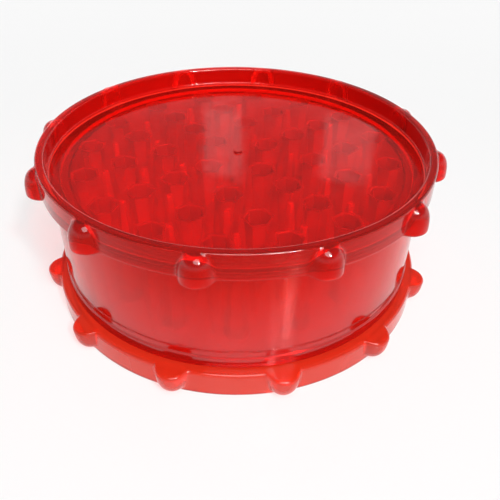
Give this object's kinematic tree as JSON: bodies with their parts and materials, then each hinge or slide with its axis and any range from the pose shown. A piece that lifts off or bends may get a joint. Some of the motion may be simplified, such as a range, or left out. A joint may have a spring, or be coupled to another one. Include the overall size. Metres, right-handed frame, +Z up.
{
  "type": "hand grinder",
  "caption": "Round hand grinder in clear red plastic: a lid with hanging teeth turns on and lifts off a base with standing teeth, and knobs round both rims give grip.",
  "frame": {"origin": "centre of the face that the base stands on", "axes": "+Z up along the axis that the lid turns about and lifts along; -Y towards the viewer"},
  "size_m": [0.0934, 0.0934, 0.0366],
  "materials": {
    "lid_plastic": "clear moulded plastic, polished",
    "base_plastic": "clear moulded plastic, polished"
  },
  "bodies": {
    "base": {"base_floor": "base_plastic", "base_rim": "base_plastic", "base_wall": "base_plastic", "base_teeth_1": "base_plastic", "base_teeth_2": "base_plastic", "base_teeth_3": "base_plastic", "base_knob_1": "base_plastic", "base_knob_2": "base_plastic", "base_knob_3": "base_plastic", "base_knob_4": "base_plastic", "base_knob_5": "base_plastic", "base_knob_6": "base_plastic", "base_knob_7": "base_plastic", "base_knob_8": "base_plastic", "base_knob_9": "base_plastic", "base_knob_10": "base_plastic", "base_knob_11": "base_plastic", "base_knob_12": "base_plastic"},
    "skirt": {"lid_skirt": "lid_plastic"},
    "lid": {"lid_disc": "lid_plastic", "lid_rim": "lid_plastic", "lid_teeth_1": "lid_plastic", "lid_teeth_2": "lid_plastic", "lid_teeth_3": "lid_plastic", "lid_teeth_4": "lid_plastic", "lid_knob_1": "lid_plastic", "lid_knob_2": "lid_plastic", "lid_knob_3": "lid_plastic", "lid_knob_4": "lid_plastic", "lid_knob_5": "lid_plastic", "lid_knob_6": "lid_plastic", "lid_knob_7": "lid_plastic", "lid_knob_8": "lid_plastic", "lid_knob_9": "lid_plastic", "lid_knob_10": "lid_plastic", "lid_knob_11": "lid_plastic", "lid_knob_12": "lid_plastic"}
  },
  "joints": [
    {"name": "lid_lift", "type": "slide", "parent": "base", "child": "skirt", "axis": [0, 0, 1], "range_m": [0, 0.05]},
    {"name": "lid_spin", "type": "hinge", "parent": "skirt", "child": "lid", "pos_m": [0, 0, 0.0306], "axis": [0, 0, 1], "continuous": true}
  ]
}
